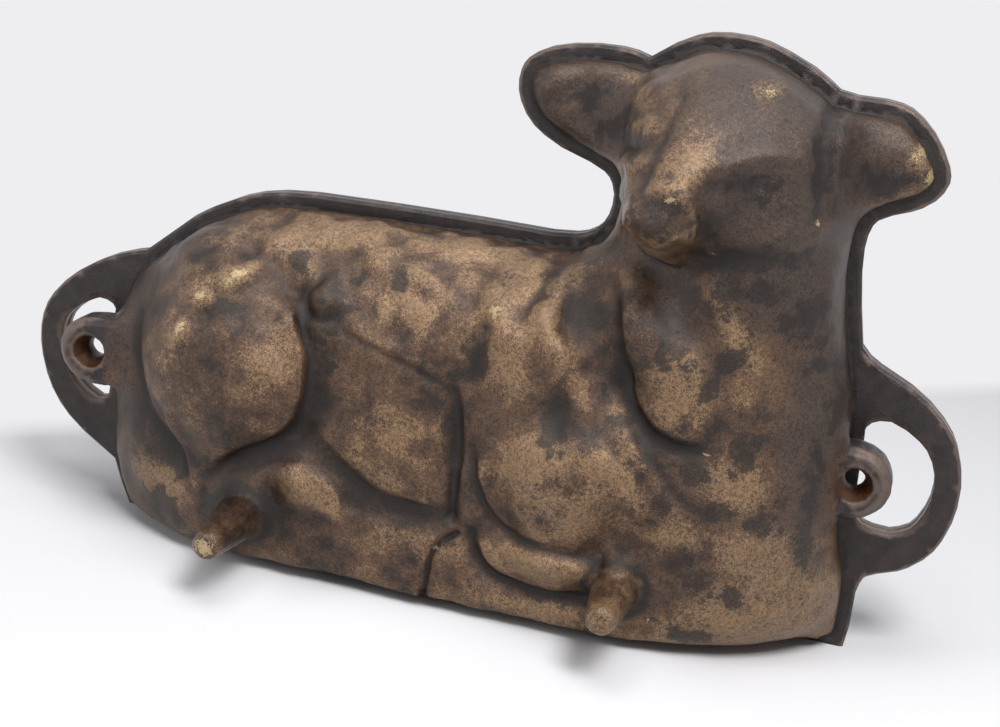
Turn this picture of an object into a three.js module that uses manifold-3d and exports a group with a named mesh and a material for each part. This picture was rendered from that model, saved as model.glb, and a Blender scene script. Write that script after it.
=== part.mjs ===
// Two-part cast-iron cake mold in the form of a lamb lying on a low base.
//
// Each half is one casting: a thin shell with one side of the lamb in relief, a flat rim
// round the shell that meets the other half's rim, and a D-shaped handle at each end of
// the rim. The face half also has two pegs, which carry it level together with the lamb's
// nose when it lies face down to be filled, and an eyed lug on each of its end walls.
// The back half lies loose on the face half and lifts straight off.
//
// Millimetres, +Z up. The mold stands on the foot of its rim, with its face towards -Y
// and the lamb's chest towards +X.

import * as THREE from 'three';
import { mergeVertices } from 'three/addons/utils/BufferGeometryUtils.js';
import Module from 'manifold-3d';

const wasm = await Module();
wasm.setup();

// Driving dimensions

const moldLength = 340; // over both handles
const moldHeight = 204.5; // foot of the rim to the crown of the head
const restDepth = 75; // parting face to the plane of the peg tips and the nose
const backDepth = 50; // parting face to the crown of the back half's haunch

const shellWall = 4; // thickness of the shell
const rimWidth = 5; // shell's outside to the rim's edge
const baseFoot = 4.4; // foot of the rim to the base's lower edge
const rimThickness = 4; // of each half's rim and handles
const rimChamfer = 1; // along the rim's outer edge
const seamGap = 0.3; // between the two parting faces

const handleBar = 8.8; // width of a handle's bar at its middle
const handleRoot = 19; // width towards which the bar grows at the rim
const openingCorner = 6; // rounding of a handle's opening beside the rim

const pegRootRadius = 9;
const pegTipRadius = 5.2;
const pegTipRound = 3; // rounding of the peg's end, which leaves a small flat

const lugRadius = 12.4; // rounded end of a lug
const lugThickness = 12;
const lugDepth = 10; // parting face to the lug's nearer face
const lugEdge = 2.4; // bevel round the lug's outer face
const lugRootSpread = 1.5; // how much wider a lug is, each way, where it leaves the wall
const lugRootLength = 32; // eye's centre to the lug's root inside the shell
const eyeMouthRadius = 6.3; // tapered eye at the lug's outer face
const eyeThroatRadius = 3.5; // its straight bore
const eyeTaperDepth = 7; // outer face to the straight bore

const creaseBlend = 5; // height over which two swelling forms run into each other
const edgeStart = 4; // how far along its rounding the shell is where it meets the rim
const overrun = 1; // by which a cutting body passes the face that it cuts

// Fineness of the meshes

const outlineStep = 1.2; // finest step along an outline
const outlineSag = 0.14; // most that a side of an outline cuts off its curve
const outlineLongest = 30;
const faceStep = 4.8; // grid of the face half's relief
const headStep = 3.6; // the same on the head
const plainStep = 7.4; // grid of the back half and of both cavities
const roundSides = 18;
const cornerSteps = 4; // sides of a rounding of a quarter turn
const planSteps = 8; // sides between two points of the base's plan
const ballRingShares = [[0, 1], [0.6, 5], [1, 8]]; // rings of a ball: radius, points on it

// Outlines of the rim, as shares of the mold's length and height, from the foot's left
// end clockwise as the face is seen. Each run is a smooth curve, and runs meet at corners.

const leftFootShares = [[-0.385, 0], [-0.3945, 0.034], [-0.405, 0.083]];

const leftHandleShares = [
  [-0.405, 0.083], [-0.421, 0.1], [-0.444, 0.125], [-0.471, 0.166], [-0.49, 0.22],
  [-0.5, 0.298], [-0.494, 0.357], [-0.476, 0.401], [-0.453, 0.435], [-0.4235, 0.4645],
  [-0.397, 0.4817], [-0.379, 0.489],
];

const leftEndShares = [
  [-0.405, 0.083], [-0.412, 0.156], [-0.413, 0.244], [-0.4125, 0.333], [-0.407, 0.401],
  [-0.397, 0.45], [-0.379, 0.489],
];

const backAndEarShares = [
  [-0.379, 0.489], [-0.359, 0.518], [-0.338, 0.548], [-0.318, 0.5746], [-0.294, 0.5966],
  [-0.265, 0.6186], [-0.235, 0.631], [-0.2, 0.637], [-0.118, 0.6396], [0, 0.6396],
  [0.065, 0.638], [0.094, 0.6455], [0.11, 0.665], [0.117, 0.694], [0.117, 0.724],
  [0.109, 0.748], [0.091, 0.764], [0.059, 0.782], [0.029, 0.812], [0.014, 0.846],
  [0.009, 0.88], [0.014, 0.914], [0.031, 0.937], [0.059, 0.951], [0.097, 0.9565],
  [0.12, 0.9535], [0.135, 0.946],
];

const crownShares = [
  [0.135, 0.946], [0.147, 0.961], [0.165, 0.98], [0.188, 0.9956], [0.218, 1],
  [0.247, 0.994], [0.2735, 0.978], [0.297, 0.96], [0.32, 0.934],
];

const earAndNeckShares = [
  [0.32, 0.934], [0.338, 0.929], [0.365, 0.929], [0.388, 0.921], [0.409, 0.895],
  [0.425, 0.861], [0.435, 0.8215], [0.429, 0.792], [0.412, 0.767], [0.388, 0.751],
  [0.3735, 0.736], [0.368, 0.709], [0.3675, 0.675], [0.3706, 0.626], [0.3765, 0.572],
  [0.382, 0.528],
];

const rightHandleShares = [
  [0.382, 0.528], [0.3926, 0.51], [0.406, 0.497], [0.435, 0.474], [0.462, 0.4425],
  [0.484, 0.401], [0.497, 0.347], [0.5, 0.303], [0.497, 0.254], [0.484, 0.198],
  [0.459, 0.159], [0.437, 0.145], [0.423, 0.132], [0.4176, 0.103],
];

const rightEndShares = [
  [0.382, 0.528], [0.391, 0.479], [0.397, 0.4205], [0.3994, 0.352], [0.4, 0.284],
  [0.402, 0.225], [0.409, 0.176], [0.416, 0.137], [0.4176, 0.103],
];

const rightFootShares = [[0.4176, 0.103], [0.4176, 0.039], [0.4147, 0]];

// The rim stands on a short foot at each end, and stops just under the base between them

const rightFlatShares = [[0.4147, 0], [0.375, 0]];
const footGapShares = [
  [0.375, 0], [0.372, 0.004], [0.366, 0.0135], [0.359, 0.019], [0.345, 0.0208],
  [-0.315, 0.0208], [-0.329, 0.019], [-0.336, 0.0135], [-0.342, 0.004], [-0.345, 0],
];
const leftFlatShares = [[-0.345, 0], [-0.385, 0]];
const straightFootShares = [[0.4147, 0], [-0.385, 0]];

// Stretch of each handle's curve along its opening

const leftOpeningShares = [0.18, 0.775];
const rightOpeningShares = [0.2, 0.84];

// Front edge of the base in plan: share of the length, share of the rest depth

const basePlanShares = [
  [-0.42, 0.11], [-0.394, 0.13], [-0.363, 0.24], [-0.335, 0.325], [-0.312, 0.385],
  [-0.288, 0.44], [-0.25, 0.49], [-0.196, 0.53], [-0.129, 0.543], [-0.063, 0.553],
  [0.003, 0.565], [0.081, 0.572], [0.128, 0.583], [0.175, 0.592], [0.21, 0.585],
  [0.249, 0.556], [0.277, 0.505], [0.306, 0.455], [0.334, 0.385], [0.363, 0.291],
  [0.378, 0.235], [0.392, 0.16], [0.42, 0.11],
];

const baseTopShare = 0.15; // height of the base's upper edge
const baseDraftShare = 0.03; // how far the base's front leans back over its height
const baseFlareShare = 0.6; // how fast the body widens upwards from the base's foot
const baseSquareness = 3.2; // power of the rounding between the base's front and top
const neckShare = 0.66; // height above which the relief's grid is finer

// Swelling forms of the relief. at: centre, reach: half length and half height, both as
// shares of the mold's length and height; rise: floor and crown, as shares of the depth of
// the half; turn: degrees; fullness: power of the fall towards the form's edge.

const faceFormShares = {
  pelvis: { at: [-0.25, 0.465], reach: [0.105, 0.13], rise: [0, 0.57] },
  haunch: { at: [-0.247, 0.352], reach: [0.102, 0.168], rise: [0.2, 0.67], fullness: 3 },
  knee: { at: [-0.2, 0.362], reach: [0.058, 0.13], rise: [0.3, 0.71] },
  hock: { at: [-0.306, 0.127], reach: [0.065, 0.068], rise: [0.1, 0.47] },
  shank: { at: [-0.229, 0.147], reach: [0.053, 0.059], rise: [0.3, 0.57] },
  hindFoot: { at: [-0.141, 0.176], reach: [0.044, 0.054], rise: [0.32, 0.62] },
  shoulder: { at: [0.0735, 0.4645], reach: [0.09, 0.137], rise: [0.2, 0.61] },
  upperArm: { at: [0.129, 0.284], reach: [0.1, 0.147], rise: [0.2, 0.71], fullness: 3 },
  foreleg: { at: [0.1206, 0.142], reach: [0.071, 0.045], rise: [0.36, 0.72] },
  paw: { at: [0.188, 0.147], reach: [0.03, 0.044], rise: [0.4, 0.73] },
  chest: { at: [0.235, 0.303], reach: [0.17, 0.44], rise: [0, 0.645] },
  neck: { at: [0.259, 0.611], reach: [0.112, 0.284], rise: [0, 0.62] },
  neckRoll: { at: [0.2, 0.5], reach: [0.09, 0.075], rise: [0.4, 0.68], turn: -54 },
  skull: { at: [0.238, 0.831], reach: [0.112, 0.171], rise: [0, 0.74] },
  face: { at: [0.2235, 0.841], reach: [0.094, 0.152], rise: [0, 0.81] },
  cheek: { at: [0.2735, 0.7335], reach: [0.071, 0.108], rise: [0.2, 0.68] },
};

const muzzleFormShares = {
  bridge: { at: [0.203, 0.797], reach: [0.07, 0.12], rise: [0.1, 0.9] },
  muzzle: { at: [0.187, 0.752], reach: [0.05, 0.09], rise: [0.1, 0.985], fullness: 1.9 },
};

const backFormShares = {
  pelvis: { at: [-0.25, 0.465], reach: [0.105, 0.13], rise: [0, 0.86] },
  haunch: { at: [-0.235, 0.352], reach: [0.11, 0.168], rise: [0.3, 1], fullness: 3 },
  hindFoot: { at: [-0.15, 0.17], reach: [0.06, 0.054], rise: [0.5, 0.9] },
  shoulder: { at: [0.0735, 0.45], reach: [0.1, 0.15], rise: [0.3, 0.93] },
  upperArm: { at: [0.129, 0.284], reach: [0.1, 0.147], rise: [0.3, 0.97], fullness: 3 },
  foreleg: { at: [0.12, 0.142], reach: [0.08, 0.05], rise: [0.4, 0.93] },
  chest: { at: [0.235, 0.303], reach: [0.17, 0.44], rise: [0, 0.88] },
  neck: { at: [0.259, 0.611], reach: [0.112, 0.284], rise: [0, 0.86] },
  skull: { at: [0.238, 0.831], reach: [0.112, 0.171], rise: [0, 0.92] },
};

// Hollows pressed into the forms: rise is their depth

const dentSharpness = 2; // how fast a hollow runs out

const faceDentShares = {
  leftEar: { at: [0.082, 0.87], reach: [0.044, 0.034], rise: [0, 0.06], turn: 6 },
  rightEar: { at: [0.365, 0.831], reach: [0.038, 0.039], rise: [0, 0.06], turn: -25 },
  leftEarRoot: { at: [0.135, 0.86], reach: [0.014, 0.06], rise: [0, 0.05] },
  rightEarRoot: { at: [0.3206, 0.841], reach: [0.014, 0.08], rise: [0, 0.06] },
  eye: { at: [0.2765, 0.812], reach: [0.038, 0.034], rise: [0, 0.045], turn: -8 },
  throat: { at: [0.182, 0.64], reach: [0.041, 0.039], rise: [0, 0.08] },
  neckGroove: { at: [0.176, 0.47], reach: [0.08, 0.026], rise: [0, 0.06], turn: -54 },
  flank: { at: [0.015, 0.303], reach: [0.022, 0.14], rise: [0, 0.05] },
  belly: { at: [-0.05, 0.165], reach: [0.12, 0.026], rise: [0, 0.04] },
};

const earPatchShares = {
  left: { at: [0.06, 0.87], reach: [0.085, 0.13] },
  right: { at: [0.39, 0.84], reach: [0.075, 0.13] },
};
const earFlatShare = 0.4; // by which an ear is flatter than the body's rounding
const earSquareness = 4; // power of the fall towards an ear patch's edge

// Rounding of the body from its edge: rise as a share of the half's depth, run and the
// longer run at the rump as shares of the mold's length

const bodyRoundShare = { rise: 0.547, run: 0.153, rumpRun: 0.25 };
const backRoundShare = { rise: 0.84, run: 0.165, rumpRun: 0.25 };
const edgeRoundShare = { rise: 0.83, run: 0.132, rumpRun: 0.22 };
const backEdgeShare = { rise: 1.1, run: 0.132, rumpRun: 0.22 };
const rumpShares = [-0.38, -0.08]; // places along the length between which the run changes
const leastEdgeShare = 0.1; // lowest wall of the relief at the rim

const pegPlaceShares = [[-0.207, 0.108], [0.188, 0.117]];
const lugPlaceShares = [[-0.4144, 0.313], [0.396, 0.324]];

const ironColor = 0x5b4738;
const ironRoughness = 0.55;
const ironMetalness = 0.6;

// Plane geometry

const halfTurn = Math.PI;
const place = ([x, z]) => new THREE.Vector2(x * moldLength, z * moldHeight);

// The fewest of a run's points that keep to its curve

function thinned(points) {
  const kept = [points[0]];
  let start = 0;
  points.forEach((point, i) => {
    const from = points[start];
    const between = points.slice(start + 1, i);
    const sags = between.map((p) => distanceToSegment(p.x, p.y, from, point));
    if (Math.max(0, ...sags) > outlineSag || from.distanceTo(point) > outlineLongest) {
      start = i - 1;
      kept.push(points[start]);
    }
  });
  return [...kept, points.at(-1)];
}

function evenRun(shares) {
  const points = shares.map(([x, z]) => new THREE.Vector3(x * moldLength, z * moldHeight, 0));
  const curve = new THREE.CatmullRomCurve3(points, false, 'centripetal');
  const steps = Math.max(1, Math.round(curve.getLength() / outlineStep));
  return curve.getSpacedPoints(steps).map((p) => new THREE.Vector2(p.x, p.y));
}

const smoothRun = (shares) => thinned(evenRun(shares));

function joinRuns(runs) {
  return runs.flatMap((shares) => smoothRun(shares).slice(0, -1));
}

// Counter-clockwise outlines: of the whole rim with its handles and feet, and of the rim
// alone with a straight foot

function anticlockwise(points) {
  return THREE.ShapeUtils.isClockWise(points) ? [...points].reverse() : points;
}

const upperRuns = [backAndEarShares, crownShares, earAndNeckShares];
const footRuns = [rightFlatShares, footGapShares, leftFlatShares];
const handledOutline = anticlockwise(joinRuns([
  leftFootShares, leftHandleShares, ...upperRuns, rightHandleShares, rightFootShares,
  ...footRuns,
]));
const rimOutline = anticlockwise(joinRuns([
  leftFootShares, leftEndShares, ...upperRuns, rightEndShares, rightFootShares,
  straightFootShares,
]));

function distanceToSegment(x, z, a, b) {
  const dx = b.x - a.x;
  const dz = b.y - a.y;
  const along = ((x - a.x) * dx + (z - a.y) * dz) / (dx * dx + dz * dz);
  const t = THREE.MathUtils.clamp(along, 0, 1);
  return Math.hypot(x - a.x - t * dx, z - a.y - t * dz);
}

function distanceToPath(x, z, points, closed) {
  let least = Infinity;
  const last = closed ? points.length : points.length - 1;
  for (let i = 0; i < last; i += 1) {
    const next = points[(i + 1) % points.length];
    least = Math.min(least, distanceToSegment(x, z, points[i], next));
  }
  return least;
}

function isInside(x, z, points) {
  let inside = false;
  for (let i = 0, j = points.length - 1; i < points.length; j = i, i += 1) {
    const a = points[i];
    const b = points[j];
    const crosses = a.y > z !== b.y > z;
    if (crosses && x < ((b.x - a.x) * (z - a.y)) / (b.y - a.y) + a.x) inside = !inside;
  }
  return inside;
}

// Each point of an anticlockwise outline moved inwards, mitred at its outer corners

function movedPoints(points, distanceAt) {
  return points.map((point, i) => {
    const before = points.at(i - 1);
    const after = points[(i + 1) % points.length];
    const into = point.clone().sub(before).normalize();
    const out = after.clone().sub(point).normalize();
    const normal = new THREE.Vector2(-into.y - out.y, into.x + out.x).normalize();
    const isOuter = into.cross(out) > 0;
    const stretch = isOuter ? 1 / Math.sqrt((1 + into.dot(out)) / 2) : 1;
    return point.clone().addScaledVector(normal, distanceAt(i) * stretch);
  });
}

// The same with the loops dropped that would double back near tight outer corners

function inset(points, distance) {
  const nearly = distance * (1 - 1 / roundSides / 2);
  const moved = movedPoints(points, () => distance)
    .filter((p) => distanceToPath(p.x, p.y, points, true) >= nearly);
  return moved.filter((p, i) => p.distanceTo(moved.at(i - 1)) > outlineStep / 2);
}

// Solids

function toSolid(geometry) {
  const bare = geometry.clone();
  bare.deleteAttribute('normal');
  bare.deleteAttribute('uv');
  const merged = mergeVertices(bare);
  return new wasm.Manifold(new wasm.Mesh({
    numProp: 3,
    vertProperties: new Float32Array(merged.getAttribute('position').array),
    triVerts: new Uint32Array(merged.getIndex().array),
  }));
}

function toGeometry(solid) {
  const mesh = solid.getMesh();
  const geometry = new THREE.BufferGeometry();
  geometry.setAttribute('position', new THREE.BufferAttribute(mesh.vertProperties, 3));
  geometry.setIndex(new THREE.BufferAttribute(mesh.triVerts, 1));
  geometry.computeVertexNormals();
  return geometry;
}

function solidFrom(vertices, triangles) {
  const geometry = new THREE.BufferGeometry();
  geometry.setAttribute('position', new THREE.Float32BufferAttribute(vertices.flat(), 3));
  geometry.setIndex(triangles.flat());
  return toSolid(geometry);
}

// Upright slab on an outline. Its upper edge is chamfered where a chamfer is given.

function slab(outline, low, high, chamfer = 0) {
  const count = outline.length;
  const inner = movedPoints(outline, () => chamfer);
  const rings = [
    outline.map((p) => [p.x, p.y, low]),
    ...(chamfer > 0 ? [outline.map((p) => [p.x, p.y, high - chamfer])] : []),
    inner.map((p) => [p.x, p.y, high]),
  ];
  const triangles = [];
  for (let ring = 1; ring < rings.length; ring += 1) {
    const base = (ring - 1) * count;
    for (let i = 0; i < count; i += 1) {
      const next = (i + 1) % count;
      triangles.push([base + i, base + next, base + count + next]);
      triangles.push([base + i, base + count + next, base + count + i]);
    }
  }
  const top = (rings.length - 1) * count;
  THREE.ShapeUtils.triangulateShape(outline, []).forEach(([a, b, c]) => {
    triangles.push([c, b, a]);
  });
  THREE.ShapeUtils.triangulateShape(inner, []).forEach(([a, b, c]) => {
    triangles.push([top + a, top + b, top + c]);
  });
  return solidFrom(rings.flat(), triangles);
}

// Body turned about an upright axis through a place on the plan

function turned(profile, x, z) {
  const geometry = new THREE.LatheGeometry(profile, roundSides);
  geometry.rotateX(halfTurn / 2);
  geometry.translate(x, z, 0);
  return toSolid(geometry);
}

// Block under a surface of given height over a grid, standing on the level called low.
// Each cell is split along its flatter diagonal, so that creases stay sharp.

function reliefBlock(heightAt, xLines, zLines, low) {
  const columns = xLines.length;
  const rows = zLines.length;
  const heights = zLines.map((z) => xLines.map((x) => heightAt(x, z)));
  const vertices = zLines.flatMap((z, j) => xLines.map((x, i) => [x, z, heights[j][i]]));
  const triangles = [];
  const at = (i, j) => j * columns + i;
  for (let j = 1; j < rows; j += 1) {
    for (let i = 1; i < columns; i += 1) {
      const [a, b, c, d] = [at(i - 1, j - 1), at(i, j - 1), at(i, j), at(i - 1, j)];
      const rising = Math.abs(vertices[a][2] - vertices[c][2]);
      const falling = Math.abs(vertices[b][2] - vertices[d][2]);
      if (rising < falling) triangles.push([a, b, c], [a, c, d]);
      else triangles.push([a, b, d], [b, c, d]);
    }
  }
  const border = [
    ...xLines.slice(0, -1).map((_, i) => at(i, 0)),
    ...zLines.slice(0, -1).map((_, j) => at(columns - 1, j)),
    ...xLines.slice(1).map((_, i) => at(columns - 1 - i, rows - 1)),
    ...zLines.slice(1).map((_, j) => at(0, rows - 1 - j)),
  ];
  const first = vertices.length;
  border.forEach((v) => vertices.push([vertices[v][0], vertices[v][1], low]));
  const middle = vertices.length;
  vertices.push([xLines[columns >> 1], zLines[rows >> 1], low]);
  border.forEach((v, i) => {
    const next = (i + 1) % border.length;
    triangles.push([border[next], v, first + i], [border[next], first + i, first + next]);
    triangles.push([first + next, first + i, middle]);
  });
  return solidFrom(vertices, triangles);
}

// Relief

function footed(points, level) {
  const lowest = Math.min(...points.map((p) => p.y));
  return points.map((p) => new THREE.Vector2(p.x, p.y < lowest + overrun ? level : p.y));
}

const shellOutline = footed(inset(rimOutline, rimWidth), baseFoot);
const cavityOutline = footed(inset(rimOutline, rimWidth + shellWall), baseFoot + shellWall);

// The shell's edge without the line under the base, carried on below it at both ends, so
// that the relief is rounded towards its sides and top and ends square under the base

const upperEdge = (() => {
  const isLow = (p) => p.y < baseFoot + overrun;
  const start = shellOutline.findIndex((p, i) => !isLow(p) && isLow(shellOutline.at(i - 1)));
  const turnedRound = [...shellOutline.slice(start), ...shellOutline.slice(0, start)];
  const kept = turnedRound.filter((p) => !isLow(p));
  const below = -moldHeight;
  return [
    new THREE.Vector2(kept[0].x, below),
    ...kept,
    new THREE.Vector2(kept.at(-1).x, below),
  ];
})();

function depthInside(x, z) {
  const distance = distanceToPath(x, z, upperEdge, false);
  return isInside(x, z, upperEdge) ? distance : -distance;
}

function smoothMax(a, b, blend) {
  const near = Math.max(blend - Math.abs(a - b), 0) / blend;
  return Math.max(a, b) + (near * near * blend) / 4;
}

const smoothMin = (a, b, blend) => -smoothMax(-a, -b, blend);

function quarterRound(share) {
  const rest = 1 - THREE.MathUtils.clamp(share, 0, 1);
  return Math.sqrt(1 - rest * rest);
}

function offCentre({ at, reach, turn = 0 }, x, z) {
  const dx = x - at[0] * moldLength;
  const dz = z - at[1] * moldHeight;
  const angle = THREE.MathUtils.degToRad(turn);
  const along = dx * Math.cos(angle) + dz * Math.sin(angle);
  const across = dz * Math.cos(angle) - dx * Math.sin(angle);
  return Math.hypot(along / (reach[0] * moldLength), across / (reach[1] * moldHeight));
}

function mound(form, depth, x, z) {
  const off = offCentre(form, x, z);
  const [floor, crown] = form.rise;
  const level = off < 1 ? Math.sqrt(1 - off ** (form.fullness ?? 2)) : 1 - off;
  return depth * (floor + (crown - floor) * level);
}

function dent(form, depth, x, z) {
  const off = offCentre(form, x, z);
  return depth * form.rise[1] * Math.exp(-off * off * dentSharpness);
}

const basePlan = (() => {
  const points = basePlanShares.map(([x, y]) => new THREE.Vector3(x, y, 0));
  const curve = new THREE.CatmullRomCurve3(points, false, 'centripetal');
  return curve.getPoints(basePlanShares.length * planSteps);
})();

function baseFront(x) {
  const share = THREE.MathUtils.clamp(x / moldLength, basePlan[0].x, basePlan.at(-1).x);
  const after = Math.max(1, basePlan.findIndex((p) => p.x >= share));
  const a = basePlan[after - 1];
  const b = basePlan[after];
  return THREE.MathUtils.mapLinear(share, a.x, b.x, a.y, b.y);
}

function baseHeight(x, z) {
  const up = (z - baseFoot) / (baseTopShare * moldHeight - baseFoot);
  if (up > 1) return 0;
  const rounding = (1 - Math.max(up, 0) ** baseSquareness) ** (1 / baseSquareness);
  return restDepth * baseFront(x) * rounding * (1 - baseDraftShare * up);
}

// Height that the body may have over the base, so that it widens from the base's plan

function baseLimit(x, z) {
  return restDepth * baseFront(x) + baseFlareShare * Math.max(z - baseFoot, 0);
}

// Height of a body rounded from its edge, with a slower rounding towards the rump

function roundedHeight({ rise, run, rumpRun }, depth, inside, x) {
  const ahead = THREE.MathUtils.smoothstep(x / moldLength, ...rumpShares);
  const length = THREE.MathUtils.lerp(rumpRun, run, ahead) * moldLength;
  return depth * rise * quarterRound(inside / length);
}

// One half's relief: rounded body, swelling forms, base, and hollows

function reliefHeight(half, x, z) {
  const { depth, round, edge, forms, proud, dents } = half;
  const inside = depthInside(x, z) + edgeStart;
  const earness = Object.values(earPatchShares)
    .reduce((most, patch) => Math.max(most, 1 - offCentre(patch, x, z) ** earSquareness), 0);
  const flat = 1 - earFlatShare * THREE.MathUtils.smoothstep(earness, 0, 1);
  let height = flat * roundedHeight(round, depth, inside, x);
  Object.values(forms).forEach((form) => {
    height = smoothMax(height, mound(form, depth, x, z), creaseBlend);
  });
  Object.values(dents).forEach((form) => {
    height -= dent(form, depth, x, z);
  });
  height = smoothMin(height, roundedHeight(edge, depth, inside, x), creaseBlend);
  height = smoothMin(height, baseLimit(x, z), creaseBlend);
  Object.values(proud).forEach((form) => {
    height = smoothMax(height, mound(form, depth, x, z), creaseBlend);
  });
  height = smoothMax(height, baseHeight(x, z), creaseBlend / 2);
  return Math.max(height, leastEdgeShare * depth);
}

// Inside of the shell: the lowest place that a ball of the wall's radius, rolled over the
// outside from below, leaves free

function cavityHeight(half, x, z) {
  let least = Infinity;
  ballRingShares.forEach(([share, count]) => {
    const reach = share * shellWall;
    const drop = Math.sqrt(shellWall * shellWall - reach * reach);
    for (let k = 0; k < count; k += 1) {
      const angle = (k / count) * halfTurn * 2;
      const px = x + reach * Math.cos(angle);
      const pz = z + reach * Math.sin(angle);
      least = Math.min(least, reliefHeight(half, px, pz) - drop);
    }
  });
  return least;
}

function lines(from, to, step) {
  const count = Math.ceil((to - from) / step);
  return Array.from({ length: count + 1 }, (_, i) => from + ((to - from) * i) / count);
}

function gridLines(step, fineStep) {
  const xs = shellOutline.map((p) => p.x);
  const zs = shellOutline.map((p) => p.y);
  const [left, right] = [Math.min(...xs) - overrun, Math.max(...xs) + overrun];
  const [low, high] = [Math.min(...zs) - overrun, Math.max(...zs) + overrun];
  const neck = neckShare * moldHeight;
  return {
    xLines: [...lines(left, 0, step), ...lines(0, right, (step + fineStep) / 2).slice(1)],
    zLines: [...lines(low, neck, step), ...lines(neck, high, fineStep).slice(1)],
  };
}

// Rim with its handles

function handleOpening({ handle, end, span }) {
  const run = evenRun(handle);
  const rimEdge = evenRun(end);
  const total = run.length - 1;
  const middle = new THREE.Vector2(run[0].x, (run[0].y + run[total].y) / 2);
  const [start, stop] = span.map((share) => Math.round(share * total));
  const inner = run.slice(start, stop + 1).map((point, k) => {
    const i = start + k;
    const along = run[i + 1].clone().sub(run[i - 1]).normalize();
    const normal = new THREE.Vector2(-along.y, along.x);
    if (normal.dot(middle.clone().sub(point)) < 0) normal.negate();
    const swell = Math.sin((halfTurn * i) / total);
    return point.clone().addScaledVector(normal, THREE.MathUtils.lerp(handleRoot, handleBar, swell));
  });
  const cornerTo = (tip, direction) => {
    const gapTo = (p) => Math.abs(p.y - tip.y);
    const wall = rimEdge.reduce((best, p) => (gapTo(p) < gapTo(best) ? p : best));
    const turn = new THREE.Vector2(wall.x, tip.y);
    const foot = new THREE.Vector2(wall.x, tip.y + direction * openingCorner);
    return new THREE.QuadraticBezierCurve(tip, turn, foot).getPoints(cornerSteps);
  };
  const onward = Math.sign(inner.at(-1).y - inner[0].y);
  const first = cornerTo(inner[0], onward).reverse();
  const last = cornerTo(inner.at(-1), -onward);
  const rimSide = run[0].x - Math.sign(run[0].x) * rimWidth * 2;
  return anticlockwise([
    new THREE.Vector2(rimSide, first[0].y),
    ...first.slice(0, -1),
    ...thinned(inner),
    ...last.slice(1),
    new THREE.Vector2(rimSide, last.at(-1).y),
  ]);
}

function rimPlate() {
  const rim = slab(rimOutline, -overrun, rimThickness + overrun);
  const openings = [
    { handle: leftHandleShares, end: leftEndShares, span: leftOpeningShares },
    { handle: rightHandleShares, end: rightEndShares, span: rightOpeningShares },
  ].map((opening) => (
    slab(handleOpening(opening), -overrun, rimThickness + overrun).subtract(rim)
  ));
  const plate = slab(handledOutline, 0, rimThickness, rimChamfer);
  return openings.reduce((solid, opening) => solid.subtract(opening), plate);
}

function shellSolid(half) {
  const { xLines, zLines } = half.grid;
  const block = reliefBlock((x, z) => reliefHeight(half, x, z), xLines, zLines, 0);
  const tall = slab(shellOutline, -overrun, half.depth + overrun);
  return block.intersect(tall);
}

function cavitySolid(half) {
  const { xLines, zLines } = half.cavityGrid;
  const block = reliefBlock((x, z) => cavityHeight(half, x, z), xLines, zLines, -overrun);
  const tall = slab(cavityOutline, -overrun * 2, half.depth + overrun);
  return block.intersect(tall);
}

// Pegs and lugs of the face half

function peg([x, z]) {
  const end = [];
  for (let k = 0; k <= cornerSteps; k += 1) {
    const angle = (k / cornerSteps) * (halfTurn / 2);
    end.push(new THREE.Vector2(
      pegTipRadius - pegTipRound * (1 - Math.cos(angle)),
      restDepth - pegTipRound * (1 - Math.sin(angle)),
    ));
  }
  const profile = [
    new THREE.Vector2(0, 0),
    new THREE.Vector2(pegRootRadius, 0),
    new THREE.Vector2(pegRootRadius, restDepth / 2),
    ...end,
    new THREE.Vector2(0, restDepth),
  ];
  const centre = place([x, z]);
  return turned(profile, centre.x, centre.y);
}

function lug([x, z]) {
  const centre = place([x, z]);
  const outward = Math.sign(x);
  const rootX = centre.x - outward * lugRootLength;
  const rootHalf = lugRadius + lugRootSpread;
  const outline = [new THREE.Vector2(rootX, centre.y - rootHalf)];
  for (let k = 0; k <= roundSides / 2; k += 1) {
    const angle = (k / roundSides) * halfTurn * 2 - halfTurn / 2;
    outline.push(new THREE.Vector2(
      centre.x + outward * lugRadius * Math.cos(angle),
      centre.y + lugRadius * Math.sin(angle),
    ));
  }
  outline.push(new THREE.Vector2(rootX, centre.y + rootHalf));
  return slab(anticlockwise(outline), lugDepth, lugDepth + lugThickness, lugEdge);
}

function eye([x, z]) {
  const centre = place([x, z]);
  const face = lugDepth + lugThickness;
  const taper = (eyeMouthRadius - eyeThroatRadius) / eyeTaperDepth;
  const profile = [
    new THREE.Vector2(0, lugDepth - overrun),
    new THREE.Vector2(eyeThroatRadius, lugDepth - overrun),
    new THREE.Vector2(eyeThroatRadius, face - eyeTaperDepth),
    new THREE.Vector2(eyeMouthRadius + taper * overrun, face + overrun),
    new THREE.Vector2(0, face + overrun),
  ];
  return turned(profile, centre.x, centre.y);
}

// The two castings

const faceHalf = {
  depth: restDepth,
  round: bodyRoundShare,
  edge: edgeRoundShare,
  forms: faceFormShares,
  proud: muzzleFormShares,
  dents: faceDentShares,
  grid: gridLines(faceStep, headStep),
  cavityGrid: gridLines(plainStep, plainStep),
};

const backHalf = {
  depth: backDepth,
  round: backRoundShare,
  edge: backEdgeShare,
  forms: backFormShares,
  proud: {},
  dents: {},
  grid: gridLines(plainStep, plainStep),
  cavityGrid: gridLines(plainStep, plainStep),
};

function faceCasting() {
  let solid = shellSolid(faceHalf).add(rimPlate());
  pegPlaceShares.forEach((shares) => {
    solid = solid.add(peg(shares));
  });
  lugPlaceShares.forEach((shares) => {
    solid = solid.add(lug(shares)).subtract(eye(shares));
  });
  return solid.subtract(cavitySolid(faceHalf));
}

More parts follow.
